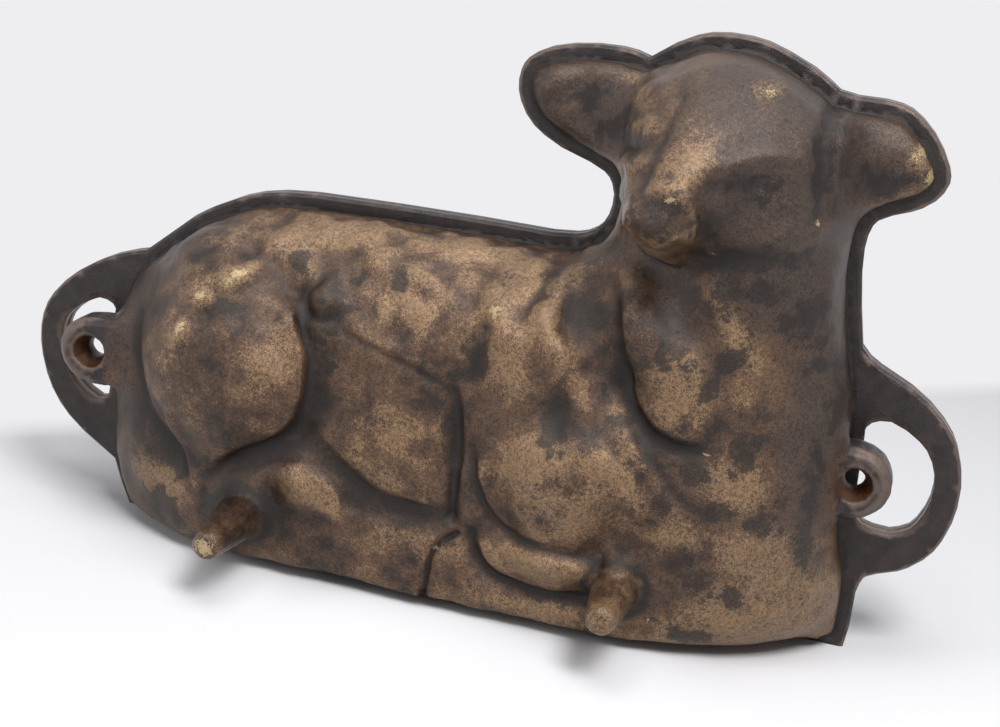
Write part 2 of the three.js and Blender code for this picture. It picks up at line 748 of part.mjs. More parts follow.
function backCasting() {
  return shellSolid(backHalf).add(rimPlate()).subtract(cavitySolid(backHalf));
}

// A half is modelled lying on its parting face. The face half is stood up with its face to
// the front; the back half is the mirror image of that pose behind the parting plane.

function mirrored(geometry) {
  geometry.scale(1, 1, -1);
  const index = geometry.getIndex();
  for (let i = 0; i < index.count; i += 3) {
    const kept = index.getX(i);
    index.setX(i, index.getX(i + 2));
    index.setX(i + 2, kept);
  }
  geometry.computeVertexNormals();
  return geometry;
}

function castIron(color) {
  return new THREE.MeshStandardMaterial({
    color,
    roughness: ironRoughness,
    metalness: ironMetalness,
  });
}

function casting(name, geometry) {
  const mesh = new THREE.Mesh(geometry, castIron(ironColor));
  mesh.name = name;
  mesh.rotation.x = halfTurn / 2;
  return mesh;
}

const frontHalf = casting('front_half', toGeometry(faceCasting()));
const rearHalf = casting('back_half', mirrored(toGeometry(backCasting())));
rearHalf.position.y = seamGap;

// The origin is under the middle of the closed mold

const mold = new THREE.Group();
mold.add(frontHalf, rearHalf);
mold.position.y = (restDepth - backDepth - seamGap) / 2;
mold.updateMatrixWorld(true);

export default mold;
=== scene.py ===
import math

import bmesh
import bpy
import numpy as np
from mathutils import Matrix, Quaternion, Vector, noise
from mathutils.bvhtree import BVHTree
from mathutils.kdtree import KDTree


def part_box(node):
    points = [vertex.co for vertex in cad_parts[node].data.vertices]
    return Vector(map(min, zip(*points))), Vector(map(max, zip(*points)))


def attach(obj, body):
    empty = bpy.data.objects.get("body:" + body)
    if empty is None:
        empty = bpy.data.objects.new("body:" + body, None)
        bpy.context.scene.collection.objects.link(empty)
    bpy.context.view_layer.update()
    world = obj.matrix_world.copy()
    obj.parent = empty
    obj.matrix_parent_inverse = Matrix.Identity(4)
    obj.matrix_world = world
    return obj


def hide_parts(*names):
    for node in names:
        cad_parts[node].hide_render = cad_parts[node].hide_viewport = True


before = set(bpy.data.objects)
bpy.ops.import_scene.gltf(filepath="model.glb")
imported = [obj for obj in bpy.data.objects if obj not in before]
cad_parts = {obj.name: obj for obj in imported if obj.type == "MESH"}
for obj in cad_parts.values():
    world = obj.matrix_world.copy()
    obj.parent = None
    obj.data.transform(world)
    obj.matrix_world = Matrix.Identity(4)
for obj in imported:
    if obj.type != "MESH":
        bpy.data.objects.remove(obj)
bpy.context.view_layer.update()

# The camera stands in front of the mold and a little above it, to the right of its middle,
# and is rolled a few degrees, so that the mold seems to lean to the right.

camera_place = (0.12445, -0.54104, 0.25277)
camera_yaw = math.radians(12)
camera_pitch = math.radians(17)
camera_roll = math.radians(6.4)
level = math.cos(camera_pitch)
look = Vector((
    -math.sin(camera_yaw) * level, math.cos(camera_yaw) * level, -math.sin(camera_pitch)))

camera_data = bpy.data.cameras.new("camera")
camera_data.lens = 60
camera_data.sensor_width = 36
camera_data.clip_start = 0.01
camera_data.clip_end = 50
camera = bpy.data.objects.new("camera", camera_data)
camera.rotation_mode = "QUATERNION"
camera.location = camera_place
camera.rotation_quaternion = look.to_track_quat("-Z", "Y") @ Quaternion((0, 0, 1), camera_roll)
bpy.context.scene.collection.objects.link(camera)
bpy.context.scene.camera = camera
bpy.context.scene.view_settings.view_transform = "Standard"

# The studio: a white table that ends behind the mold in a slightly greyer backdrop, a weak
# pale light from all round, a wide lamp above, one on the left, and the main one on the right.


def linear(hex_color):
    """An sRGB colour as the linear values that Blender works in"""
    channels = [int(hex_color[i:i + 2], 16) / 255 for i in (1, 3, 5)]
    return (*[c / 12.92 if c <= 0.04045 else ((c + 0.055) / 1.055) ** 2.4 for c in channels], 1)


def add_node(material, kind, settings=None, stops=(), **links):
    """Adds a shader node. Settings are its own, stops are a colour ramp's places and colours,
    and links are its sockets: values or outputs."""
    node = material.node_tree.nodes.new("ShaderNode" + kind)
    for name, value in (settings or {}).items():
        setattr(node, name, value)
    for place, _ in stops[2:]:
        node.color_ramp.elements.new(place)
    for i, (place, color) in enumerate(stops):
        node.color_ramp.elements[i].position = place
        node.color_ramp.elements[i].color = color
    for name, value in links.items():
        key = name.replace("_", " ")
        socket = node.inputs[int(key[1:])] if key[1:].isdigit() else node.inputs[key]
        if isinstance(value, bpy.types.NodeSocket):
            material.node_tree.links.new(value, socket)
        else:
            socket.default_value = value
    return node


def bare_material(name):
    """A material with no nodes yet"""
    material = bpy.data.materials.new(name)
    material.use_nodes = True
    material.node_tree.nodes.clear()
    return material


# The table's edge is a straight line on the floor, through these two points. Far from the
# mold, on its other sides, the table fades into the backdrop.
TABLE_EDGE = (Vector((-0.2128, 0.0566)), Vector((0.2103, 0.3831)))
EDGE_SOFTNESS = 0.012
NEAR_TABLE = 0.6
FAR_TABLE = 1.1
FLOOR_SIZE = 30

paper = bare_material("white_paper")
edge_way = (TABLE_EDGE[1] - TABLE_EDGE[0]).normalized()
across = Vector((-edge_way.y, edge_way.x, 0))
floor_place = add_node(paper, "TexCoord").outputs["Object"]
beyond = add_node(paper, "VectorMath", {"operation": "DOT_PRODUCT"}, _0=floor_place, _1=across)
edge_at = across.x * TABLE_EDGE[0].x + across.y * TABLE_EDGE[0].y
tone = add_node(
    paper, "MapRange", Value=beyond.outputs["Value"],
    From_Min=edge_at - EDGE_SOFTNESS, From_Max=edge_at + EDGE_SOFTNESS)
from_mold = add_node(paper, "VectorMath", {"operation": "LENGTH"}, _0=floor_place)
far = add_node(
    paper, "MapRange", Value=from_mold.outputs["Value"], From_Min=NEAR_TABLE, From_Max=FAR_TABLE)
backdrop_share = add_node(
    paper, "Math", {"operation": "MAXIMUM"}, _0=tone.outputs["Result"],
    _1=far.outputs["Result"])
table_paper = add_node(paper, "BsdfDiffuse", Color=linear("#e9e9ec"))
back_paper = add_node(paper, "Emission", Color=linear("#eeeef1"), Strength=1)
paper_shader = add_node(
    paper, "MixShader", _0=backdrop_share.outputs[0], _1=table_paper.outputs[0],
    _2=back_paper.outputs[0])
add_node(paper, "OutputMaterial", Surface=paper_shader.outputs[0])

floor_mesh = bpy.data.meshes.new("floor")
shape = bmesh.new()
bmesh.ops.create_grid(shape, x_segments=1, y_segments=1, size=FLOOR_SIZE / 2)
shape.to_mesh(floor_mesh)
shape.free()
floor = bpy.data.objects.new("floor", floor_mesh)
floor.data.materials.append(paper)
bpy.context.scene.collection.objects.link(floor)

room = bpy.data.worlds.new("pale_room")
bpy.context.scene.world = room
room.use_nodes = True
room.node_tree.nodes.clear()
light_path = add_node(room, "LightPath").outputs
seen = add_node(
    room, "Math", {"operation": "MAXIMUM"},
    _0=light_path["Is Camera Ray"], _1=light_path["Is Glossy Ray"])
seen = add_node(
    room, "Math", {"operation": "MAXIMUM"},
    _0=seen.outputs[0], _1=light_path["Is Transmission Ray"])
AMBIENT_LEVEL = 0.2
ambient = add_node(room, "Background", Color=linear("#f4f5f8"), Strength=AMBIENT_LEVEL)
backdrop = add_node(room, "Background", Color=linear("#eeeef1"), Strength=1)
sky = add_node(
    room, "MixShader", _0=seen.outputs[0], _1=ambient.outputs[0], _2=backdrop.outputs[0])
add_node(room, "OutputWorld", Surface=sky.outputs[0])


LAMP_TARGET = Vector((0, 0, 0.08))


def add_lamp(name, place, size, power):
    """A square-cornered lamp that points at the middle of the mold. Its power is in watts."""
    data = bpy.data.lights.new(name, "AREA")
    data.shape = "RECTANGLE"
    data.size, data.size_y = size
    data.energy = power
    lamp = bpy.data.objects.new(name, data)
    lamp.location = place
    aim = LAMP_TARGET - Vector(place)
    lamp.rotation_mode = "QUATERNION"
    lamp.rotation_quaternion = aim.to_track_quat("-Z", "Y")
    bpy.context.scene.collection.objects.link(lamp)


add_lamp("wide_lamp_above", place=(0, -0.1, 1.0), size=(0.7, 0.5), power=4)
add_lamp("side_lamp_left", place=(-0.9, -0.6, 0.5), size=(0.5, 0.5), power=3)
add_lamp("main_lamp_right", place=(0.38, -0.5, 0.92), size=(0.4, 0.4), power=9)

# The face half: one iron casting, moulded in sand, with a thin shell that carries the
# lamb's face side, a flat rim with its handles, two pegs and two eyed lugs. The sand gives
# the iron a fine grain, and years of baking fat a brown and black skin, worn on high spots.
# Its finish also carries painted shade in creases, at the seam and round the pegs, and
# painted highlights on bright bumps and edges.

MM = 0.001

# Edges of forms that lie over others: width and height of the step, and how far the form
# stays raised, in millimetres, then the line that the edge follows over the mold's face,
# along its length and up it. The raised form is on the left of the line's way.
FACE_STEPS = {
    "thigh over the flank": (1.5, 2.2, 9, [
        (-84, 36), (-78, 42), (-72, 47), (-64, 51), (-57, 57), (-52.6, 65), (-51, 75),
        (-52, 84), (-56, 93), (-61, 103)]),
    "fleece over the flank": (1.1, 0.9, 6, [
        (-41, 95), (-32, 92.5), (-20, 89), (-11, 86), (0, 82)]),
    "shoulder over the flank": (1.3, 1.3, 7, [(2, 83), (4, 74), (5.5, 62), (6, 50), (6, 40)]),
    "arm over the foreleg": (1.3, 1.5, 8, [
        (11, 62), (13, 53), (17, 44), (23, 38), (31, 35.5), (45, 35), (58, 34)]),
    "foreleg over the base": (1.3, 1.7, 6, [
        (13, 33), (16, 26), (20, 21.5), (28, 19), (40, 18), (56, 19)]),
    "arm over the chest": (1.8, 1.1, 7, [
        (88, 54), (80, 58), (73, 66), (66, 73), (60, 82)]),
    "neck ridge over the shoulder": (1.5, 1.8, 8, [
        (53, 120), (56, 109), (60, 96), (63, 88), (69, 82), (77, 79), (84, 79.5)]),
    "hind foot": (1.3, 1.0, 6, [(-36, 25), (-34, 32), (-38, 39), (-46, 44), (-55, 45), (-63, 40)]),
    "belly over the base": (1.3, 1.0, 7, [
        (-48, 57), (-42, 54), (-33, 47.5), (-23, 41), (-12, 39), (3, 37.5)]),
    "head over the left ear": (1.0, 1.4, 6, [
        (55, 191), (49, 185), (46, 178), (44.8, 170), (45, 160)]),
    "right ear's root": (0.9, 1.0, 6, [(112, 187), (111.5, 176), (112, 164), (113.5, 156)]),
    "muzzle over the throat": (1.3, 1.3, 6, [
        (50, 158), (50.5, 147), (54, 139), (60, 135), (68, 134.5), (76, 139)]),
    "jaw over the throat": (2.6, 0.9, 7, [
        (74, 138), (82, 143.5), (91, 146.5), (99, 147.5), (107, 151)]),
}

# Folds and ridges: half width and height, then the line
FACE_LINES = {
    "back of the thigh": (3.6, -2.0, [
        (-121, 82), (-121, 69), (-118, 59), (-113, 50), (-108, 44), (-101, 40), (-95, 32)]),
    "tail": (2.3, 1.5, [(-98.5, 52), (-97, 46), (-94.5, 40), (-92, 33), (-88, 28)]),
    "tail's root": (4, 0.6, [(-105, 62), (-101, 56), (-98.5, 50)]),
    "front of the thigh": (3, -1.6, [
        (-84, 34), (-77, 39.5), (-70, 44.5), (-62, 48.5), (-54, 55), (-49.6, 64), (-48, 75),
        (-49, 84), (-53, 93), (-58, 103)]),
    "groin": (4.5, -1.2, [(-44, 86), (-43.5, 74), (-45, 63), (-50, 55)]),
    "under the thigh": (3.6, -1.4, [(-48, 58), (-58, 45), (-68, 40), (-79, 34)]),
    "under the belly": (4, -1.1, [(-46, 52), (-38, 46), (-30, 41), (-18, 36), (-6, 34), (4, 34)]),
    "base's edge": (2.8, 1.3, [(-36, 27), (-22, 27), (-10, 26.5), (0, 26)]),
    "round the hip knob": (1.5, -1.3, [
        (-51, 107.5), (-54, 104), (-54.5, 100), (-51.5, 96.5), (-47, 95.5), (-43.5, 97.5)]),
    "crack": (1.3, -2.3, [(6.7, 29.5), (3, 27), (0.5, 24), (-1.4, 20), (-2, 14), (-2.6, 5)]),
    "behind the elbow": (1.3, -0.7, [(3.6, 50), (4.2, 42), (4.2, 34)]),
    "behind the arm": (2.2, -1.1, [(-0.5, 84), (1.5, 76), (3, 64), (3.8, 50), (4.2, 36)]),
    "under the fleece": (1.4, -0.6, [(-40, 93), (-20, 87), (-11, 84), (0, 80)]),
    "rump fold": (3.2, -1.1, [(-79, 118), (-73, 111), (-66, 106), (-60, 101)]),
    "rump ridge": (3, 1.0, [(-85, 109), (-78, 107), (-73, 113), (-69, 119)]),
    "fleece dent": (3, -1.7, [(8.5, 104), (7, 94), (6, 86)]),
    "first neck valley": (3.6, -1.9, [(26, 122), (23, 115), (19, 107)]),
    "second neck valley": (3.8, -1.0, [(41, 119), (36, 113), (34, 107)]),
    "shoulder ridge": (4, 2.3, [(30, 108), (36, 98), (41, 91), (45, 84)]),
    "shoulder's bright fold": (4, 2.2, [(8, 113), (14, 107), (20, 103)]),
    "shoulder's second fold": (3.2, 1.2, [(26, 112), (31, 105), (35, 98)]),
    "neck groove": (3.2, -1.9, [
        (50, 119), (53, 108), (57, 95), (60, 87), (67, 79.5), (76, 76.5), (85, 77)]),
    "neck ridge": (5, 1.8, [(60, 118), (70, 111), (76, 104), (80, 97), (84, 89), (82, 83)]),
    "second neck groove": (5, -0.5, [(72, 127), (79, 118), (86, 107), (90, 96), (88, 84)]),
    "second neck ridge": (7, 0.8, [(82, 127), (90, 113), (98, 101), (103, 90)]),
    "upper arm": (4.4, 1.6, [(48, 72), (57, 67), (65, 60), (70, 55)]),
    "front of the arm": (3, -0.9, [(62, 84), (68, 75), (75, 68), (81, 60), (89, 56.5)]),
    "arm's back edge": (2.4, -1.2, [
        (8.5, 61), (10.5, 52), (14.5, 43), (21, 36.5), (30, 33.3), (45, 32.8), (58, 32)]),
    "foreleg": (4.6, 1.0, [(22, 28), (33, 27), (46, 27), (56, 27)]),
    "under the foreleg": (2.4, -1.9, [
        (11, 31), (14, 24), (19, 19), (27, 16.5), (40, 15.5), (56, 16)]),
    "base under the foreleg": (3, 0.8, [(8, 20), (14, 13), (26, 9.5), (44, 9)]),
    "left ear's upper rim": (2.6, 1.0, [(13, 180), (17, 185), (25, 188), (34, 188.5), (44, 187)]),
    "left ear's lower rim": (2.4, 0.9, [(13, 180), (16, 173), (22, 168.5), (31, 165), (44, 162)]),
    "ruff by the left ear": (2.2, 0.9, [(48.5, 176), (51.5, 183), (56, 189)]),
    "first curl": (2.2, 1.3, [(47.5, 172.5), (52, 175), (56, 178)]),
    "second curl": (2.6, 1.5, [(47, 162), (51, 165), (55, 168)]),
    "between the curls": (1.6, -1.1, [(47, 168), (52, 170), (57, 173)]),
    "side of the face": (2.4, -1.5, [(63, 187), (60, 178), (58.5, 170), (56, 160)]),
    "bridge": (4.5, 0.9, [(80, 180), (75, 173), (71, 166), (69, 160)]),
    "edge of the nose": (1.6, 1.3, [
        (55, 150), (55.5, 157), (60, 161.5), (66, 162.5), (71.5, 159.5), (74, 153), (72, 147)]),
    "brow": (2.8, 1.3, [(80, 170), (86, 172.5), (93, 174), (101, 173.5), (105, 171)]),
    "upper lid": (1.6, 0.5, [(88, 168.5), (93, 170.5), (99, 170), (104, 167)]),
    "over the lid": (1.6, -0.5, [(86, 170), (92, 172), (99, 171.8), (105, 169)]),
    "lower lid": (1.8, 0.8, [(91, 162), (96, 160), (102, 159.5), (107, 160.5)]),
    "eye's corner": (3.2, -1.3, [(78, 165), (84, 165.5), (90, 166)]),
    "cheek": (3.2, -1.1, [(76, 160), (77, 152), (80, 146)]),
    "under the jaw": (3.2, -1.3, [(72, 133), (80, 138), (90, 141.5), (100, 142.5)]),
    "mouth": (1.4, -0.7, [(54, 143), (60, 141), (67, 143), (72, 147)]),
    "head by the right ear": (2.8, -1.7, [(108, 188), (107.5, 176), (108, 165), (110, 156)]),
    "right ear's upper rim": (2.6, 0.9, [(118, 185), (128, 184), (137, 180), (142, 171)]),
    "right ear's lower rim": (2.4, 0.8, [(118, 158), (130, 158.5), (138, 161), (142, 169)]),
}

# Swellings and dimples: centre, half length and half height, height and slope in degrees
FACE_SPOTS = {
    "knob by the hip": (-48.3, 102, 5, 5, 4.6, 0),
    "first worn bump": (-79, 105.5, 6, 3, 1.6, 25),
    "second worn bump": (-89.5, 98, 3.4, 3, 1.3, 0),
    "third worn bump": (-95, 88, 3, 4.5, 1.2, 0),
    "hind foot": (-48, 36, 14, 6.6, 2.8, -26),
    "hind toes": (-35, 30, 6, 4.6, 1.4, -10),
    "hind toe": (-52.5, 41, 3, 3, 1.2, 0),
    "hollow over the hock": (-104, 36, 10, 7, -1.5, 20),
    "flank": (-22, 68, 24, 18, 0.5, 0),
    "elbow": (27, 45, 10, 8, 0.8, 20),
    "shoulder dimple": (37.5, 78, 4.6, 7, -2, 0),
    "arm's crown": (63, 76, 9, 7, 1.8, -30),
    "knot on the neck": (75, 89, 8, 8, 1.2, 0),
    "fleece": (-62, 122, 10, 6, 0.9, 0),
    "fleece on the loin": (-38, 118, 11, 7, 0.9, -10),
    "fleece behind the shoulder": (-12, 107, 12, 8, 0.8, -20),
    "fleece dimple": (-26, 113, 6, 7, -0.9, 20),
    "loin dimple": (-52, 115, 5, 8, -0.9, 0),
    "left ear's hollow": (27, 177, 13, 6.5, -1.8, 5),
    "left ear's tip": (15, 179, 4, 5, 0.6, 0),
    "nose": (64, 154, 5.6, 5.6, -2.2, 0),
    "left nostril": (60, 154, 2.2, 3.2, -0.9, 20),
    "right nostril": (70, 155, 2.2, 3.4, -0.9, -20),
    "upper lip": (63, 146, 8, 4, 0.8, 0),
    "chin": (61, 138, 8, 3.4, 0.6, 0),
    "eyeball": (98, 165.5, 7, 4.4, 1.8, -6),
    "cheekbone": (88, 155, 9, 6, 0.8, 0),
    "forehead": (82, 186, 16, 9, 0.5, 0),
    "right ear's hollow": (126, 168, 10, 9, -1.6, -20),
    "right ear's tip": (139, 174, 5, 6, 0.5, -30),
}

# Where the skin is black, from a thick skin and as painted shade in creases and along dark
# sides; tan, from wear and as painted highlights; filmed with grey; or flecked pale, from
# chips and as painted glints: centre, half length, half height and slope in degrees
FACE_PATCHES = {
    # black: thick skin, and painted shade in creases, under the thigh and belly, beside the right
    # ear and along the shell's right side
    "black": (
        (-48.3, 101.5, 12, 12, 0), (-101, 36, 14, 9, 15), (-62, 45, 15, 4, 20),
        (-108, 14, 12, 8, 0), (-120, 50, 5, 14, 20), (-45, 68, 4, 16, 0), (-30, 43, 9, 3, -25),
        (-12, 35, 9, 3, 0), (-6, 75, 5, 5, 0), (4, 44, 3.5, 16, 0), (2, 66, 3, 14, 5),
        (8, 95, 4, 10, 0), (36, 113, 3, 9, 35), (37.5, 78, 5, 7.5, 0), (56, 80, 6, 4, 20),
        (36, 46, 6, 3, -20), (57, 51, 5, 4, 0), (58, 98, 5, 16, -20), (70, 114, 13, 8, -50),
        (76, 80, 10, 4, -15), (85, 71, 5, 9, 20), (90, 56, 9, 5, 0), (107, 56, 8, 5, -20),
        (104, 82, 5, 4, 0), (115, 106, 7, 5, 0), (90, 29, 8, 7, 30), (40, 16, 24, 4, 0),
        (92, 10, 9, 5, 0), (84, 38, 7, 4, 30), (102, 26, 6, 4, 0), (74, 57, 4, 7, -30),
        (122, 60, 4, 26, 0), (30, 179, 9, 4, 10), (40, 172, 9, 8, 0), (52, 169, 5, 3, 20),
        (64, 154, 9, 9, 0), (88, 165, 8, 5, 0), (92, 141, 22, 5, 10), (108, 172, 4, 16, 0),
        (127, 164, 8, 8, 0), (110, 122, 14, 10, 0), (70, 127, 16, 5, -20), (93, 130, 16, 6, 0),
        (88, 104, 4, 16, -30), (98, 78, 5, 8, 0), (-80, 96, 6, 5, 0), (-24, 114, 6, 5, 0),
        (-62, 112, 5, 4, 0), (125, 120, 4, 40, 0),
    ),
    # tan: worn iron, and painted highlights on bright bumps, ridges and the top of the back, and
    # painted light on the base's right end
    "tan": (
        (-78, 105, 9, 3.5, 35), (-89, 98, 5, 3, 30), (-95, 87, 4, 6, -30), (-103, 26, 11, 7, 0),
        (-44, 37, 9, 6, -20), (-60, 82, 5, 7, -30), (-62, 108, 9, 6, 0), (-20, 60, 12, 10, 0),
        (-18, 22, 18, 3, 0), (-20, 106, 12, 8, 0), (11, 109, 9, 6, -20), (28, 109, 9, 6, -45),
        (28, 64, 12, 10, 0), (43, 88, 4, 6, -50), (48, 45, 16, 8, 0), (40, 27, 20, 4, 0),
        (42, 9, 16, 4, 0), (76, 103, 5, 10, -30), (76, 93, 6, 8, 0), (64, 48, 10, 8, 0),
        (92, 96, 6, 5, 0), (108, 42, 12, 10, 0), (92, 22, 9, 6, 0), (106, 18, 28, 16, 0),
        (78, 46, 9, 8, 0), (56, 84, 5, 8, -35), (60, 66, 9, 7, 0), (114, 32, 9, 12, 0),
        (72, 147, 8, 5, 0), (72, 30, 8, 6, 0), (98, 66, 10, 10, 0), (24, 177, 4, 2.5, -10),
        (50, 182, 3, 7, 60), (52, 176, 5, 3, 20), (50, 164, 6, 5, 20), (70, 170, 5, 10, -20),
        (64, 162.5, 8, 2.2, 0), (55, 153, 2, 6, 0), (74, 154, 2, 6, 0), (88, 191, 4, 3, 0),
        (61, 139, 10, 5, 0), (122, 174, 5, 3, 0), (138, 176, 3, 7, -30), (134, 160, 9, 3, 15),
        (90, 118, 10, 4, -45), (-60, 120, 20, 5, 3), (0, 121, 30, 5, 0), (20, 90, 10, 12, 0),
    ),
    "grey": (
        (-124, 90, 9, 26, -15), (-112, 112, 16, 8, 35), (92, 182, 26, 16, -20),
        (98, 160, 20, 15, 0), (108, 134, 16, 14, 0), (32, 176, 20, 12, 0), (118, 90, 8, 26, 0),
        (126, 172, 16, 14, 0),
    ),
    # pale flecks: chips, and painted glints on the brightest bumps and ridges
    "pale_fleck": (
        (-70.4, 22.1, 4.4, 4.4, 0), (-80, 105, 6, 2, 35), (-90, 98, 3.5, 1.6, 20),
        (-95, 87, 2, 4, -35), (138, 177, 3, 6.5, -35), (141.5, 168, 2.2, 6, 0),
        (88, 191, 3, 1.4, 0), (110, 154, 1, 2, 0), (67, 160, 3, 1.2, 0), (76, 14, 1.2, 1.5, 0),
        (121, 41, 1.3, 1.2, 0), (95, 92, 3, 0.9, -20), (0, 23, 1.5, 1, 0), (9, 22.5, 1, 0.8, 0),
        (-21, 99, 1, 1.5, 0), (79, 141, 2, 0.8, 20), (87, 76, 2, 0.8, 0), (43, 87, 1.2, 3, -50),
        (12, 108, 2.5, 3.5, 0),
    ),
}


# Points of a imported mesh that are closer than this, in metres, are one
SAME_POINT = 0.00001


def merged_copy(node):
    """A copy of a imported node's mesh, joined up at its loose edges"""
    copy = bmesh.new()
    copy.from_mesh(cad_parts[node].data)
    bmesh.ops.remove_doubles(copy, verts=copy.verts, dist=SAME_POINT)
    return copy


# A casting's zones, and what tells them apart: the rim's thickness and the shell's two ends
# in millimetres, and the metres that a ray starts off a face
RIM, OUTSIDE, INSIDE = 0, 1, 2
RIM_THICKNESS = 4
SHELL_ENDS = (-134.6, 130.6)
PARTING_BAND = 0.1
RIM_SLACK = 0.05
RAY_START = 0.0001


def mark_zones(casting, parting, outward):
    """Tells the rim's faces from those of the shell's outside and of its hollow"""
    tree = BVHTree.FromBMesh(casting)
    out = Vector((0, outward, 0))
    for face in casting.faces:
        centre = face.calc_center_median()
        depth = (centre.y - parting) * outward / MM
        start = centre + face.normal * RAY_START
        opens_back = tree.ray_cast(start, -out)[0] is None
        roofed = tree.ray_cast(start, out)[0] is not None
        within = SHELL_ENDS[0] < centre.x / MM < SHELL_ENDS[1]
        if opens_back and roofed and within and depth > PARTING_BAND:
            face.material_index = INSIDE
        elif depth > RIM_THICKNESS + RIM_SLACK:
            face.material_index = OUTSIDE
        else:
            face.material_index = RIM


def measured(mesh):
    """A triangle mesh's points and normals, edges, triangles, their edges and zones"""
    places = np.empty((len(mesh.vertices), 3))
    mesh.vertices.foreach_get("co", places.ravel())
    normals = np.empty((len(mesh.vertices), 3))
    mesh.vertex_normals.foreach_get("vector", normals.ravel())
    edges = np.empty((len(mesh.edges), 2), int)
    mesh.edges.foreach_get("vertices", edges.ravel())
    corners = np.empty((len(mesh.polygons), 3), int)
    mesh.loops.foreach_get("vertex_index", corners.ravel())
    sides = np.empty((len(mesh.polygons), 3), int)
    mesh.loops.foreach_get("edge_index", sides.ravel())
    zones = np.empty(len(mesh.polygons), int)
    mesh.polygons.foreach_get("material_index", zones)
    return places, normals, edges, corners, sides, zones


def measured_casting(casting):
    """The same of a casting that is still being worked on"""
    mesh = bpy.data.meshes.new("measured")
    casting.to_mesh(mesh)
    measures = measured(mesh)
    bpy.data.meshes.remove(mesh)
    return measures


LINE_STEPS = (0, 0.25, 0.5, 0.75)


def rounded_line(points):
    """A line's points with a smooth curve through them, of the kind called Catmull-Rom"""
    ends = [points[0], *points, points[-1]]
    path = []
    for a, b, c, d in zip(ends, ends[1:], ends[2:], ends[3:]):
        for t in LINE_STEPS:
            path.append(tuple(
                0.5 * (2 * q + (r - p) * t + (2 * p - 5 * q + 4 * r - s) * t ** 2
                       + (3 * q - p - 3 * r + s) * t ** 3)
                for p, q, r, s in zip(a, b, c, d)))
    return [*path, points[-1]]


def distance_and_side(x, z, points, reach):
    """The places near a curved line, and for each its distance, its side of the line and
    how far along the line it is from the nearer end"""
    path = np.array(rounded_line(points))
    low, high = path.min(axis=0) - reach, path.max(axis=0) + reach
    near = np.nonzero((x > low[0]) & (x < high[0]) & (z > low[1]) & (z < high[1]))[0]
    least = np.full(len(near), np.inf)
    side = np.ones(len(near))
    passed = np.zeros(len(near))
    px, pz = x[near], z[near]
    length = 0
    for (ax, az), (bx, bz) in zip(path, path[1:]):
        dx, dz = bx - ax, bz - az
        run = math.hypot(dx, dz)
        along = np.clip(((px - ax) * dx + (pz - az) * dz) / run ** 2, 0, 1)
        distance = np.hypot(px - ax - along * dx, pz - az - along * dz)
        closer = distance < least
        least[closer] = distance[closer]
        side[closer] = np.sign(dx * (pz - az) - dz * (px - ax))[closer]
        passed[closer] = (length + along * run)[closer]
        length += run
    return near, least, side, np.minimum(passed, length - passed)


def spot_offsets(x, z, spot):
    """Each place's distance from an oval spot's centre, as a share of its half length"""
    centre_x, centre_z, half_x, half_z, slope = spot
    angle = math.radians(slope)
    dx, dz = x - centre_x, z - centre_z
    along = dx * math.cos(angle) + dz * math.sin(angle)
    over = dz * math.cos(angle) - dx * math.sin(angle)
    return np.hypot(along / half_x, over / half_z)


def patch_field(x, z, spots):
    """1 in the middle of the nearest spot, 0.5 at its edge and 0 well away from it"""
    field = np.zeros(len(x))
    for spot in spots:
        field = np.maximum(field, 1 - spot_offsets(x, z, spot) / 2)
    return np.clip(field, 0, 1)


# How far from its ends a step fades in, how far out the steps and lines are worked out, as
# shares of their reach and width, and where a step's foot lies, as a share of its width
END_FADE = 9
STEP_ZONE_SHARE = 2.5
LINE_ZONE_SHARE = 3
FOOT_SHARE = 0.9

# The rises, in millimetres, from which a step, a fold or a dimple gets its full painted shade at
# its foot
DARK_STEP = 2
DARK_FOLD = 2.4
DARK_DIMPLE = 3


def form_heights(x, z, steps, lines, spots):
    """Height of the steps, folds and swellings over each place, and how much painted shade
    it gets at the foot of a step, in a fold or in a dimple"""
    height = np.zeros(len(x))
    painted_shade = np.zeros(len(x))
    for width, rise, reach, points in steps.values():
        near, distance, side, from_end = distance_and_side(x, z, points, reach * STEP_ZONE_SHARE)
        fade = np.clip(from_end / END_FADE, 0, 1)
        signed = np.clip(distance * side / width, -1, 1)
        raised = (0.5 + signed * (0.75 - 0.25 * signed ** 2)) * np.exp(-(distance / reach) ** 2)
        height[near] += rise * fade * raised
        foot = np.exp(-((distance * side / width + FOOT_SHARE) / FOOT_SHARE) ** 2)
        foot = foot * min(rise / DARK_STEP, 1) * fade
        painted_shade[near] = np.maximum(painted_shade[near], foot)
    for width, rise, points in lines.values():
        near, distance, _, _ = distance_and_side(x, z, points, width * LINE_ZONE_SHARE)
        bell = np.exp(-(distance / width) ** 2)
        height[near] += rise * bell
        if rise < 0:
            painted_shade[near] = np.maximum(painted_shade[near], bell ** 2 * min(-rise / DARK_FOLD, 1))
    for centre_x, centre_z, half_x, half_z, rise, slope in spots.values():
        bell = np.exp(-spot_offsets(x, z, (centre_x, centre_z, half_x, half_z, slope)) ** 2)
        height += rise * bell
        painted_shade = np.maximum(painted_shade, bell * np.clip(-rise / DARK_DIMPLE, 0, 1))
    return height, painted_shade


# The longest edge at a line or a spot, as a share of its size but never under the finest, in
# millimetres, and how far out from it that holds
LINE_EDGE_SHARE = 1.15
SPOT_EDGE_SHARE = 0.69
FINEST = 1.3
LINE_NEAR_SHARE = 1.4
SPOT_NEAR_SHARE = 1.5


